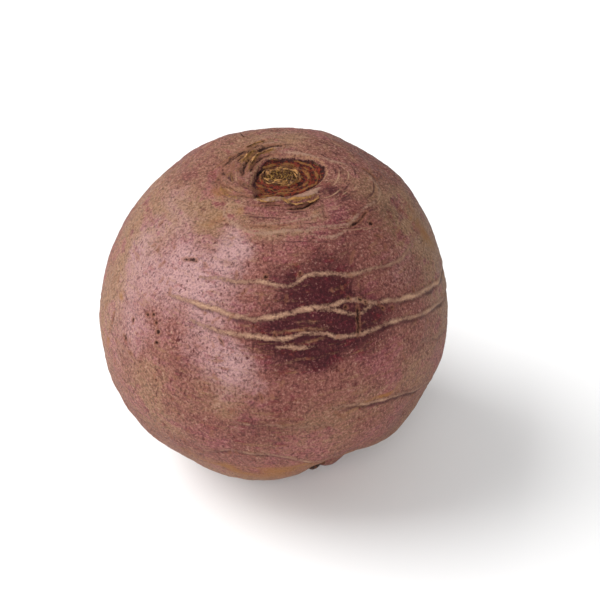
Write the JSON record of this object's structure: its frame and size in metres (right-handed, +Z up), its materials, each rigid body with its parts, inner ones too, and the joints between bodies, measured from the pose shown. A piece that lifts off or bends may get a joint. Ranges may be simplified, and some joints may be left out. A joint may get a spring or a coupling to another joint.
{
  "type": "beetroot",
  "caption": "Whole raw beetroot, round, with a trimmed crown, corky growth lines and a dried stub of taproot, standing on a small flat spot.",
  "frame": {"origin": "on the resting plane, under the middle of the outline seen from above", "axes": "+Z up through the crown scar, -Y towards the front, +X to the right seen from the front"},
  "size_m": [0.0902, 0.0908, 0.0842],
  "materials": {
    "beet_skin": "dry corky root skin, dull with a faint waxy sheen"
  },
  "bodies": {
    "root": {"beetroot": "beet_skin"}
  },
  "joints": []
}
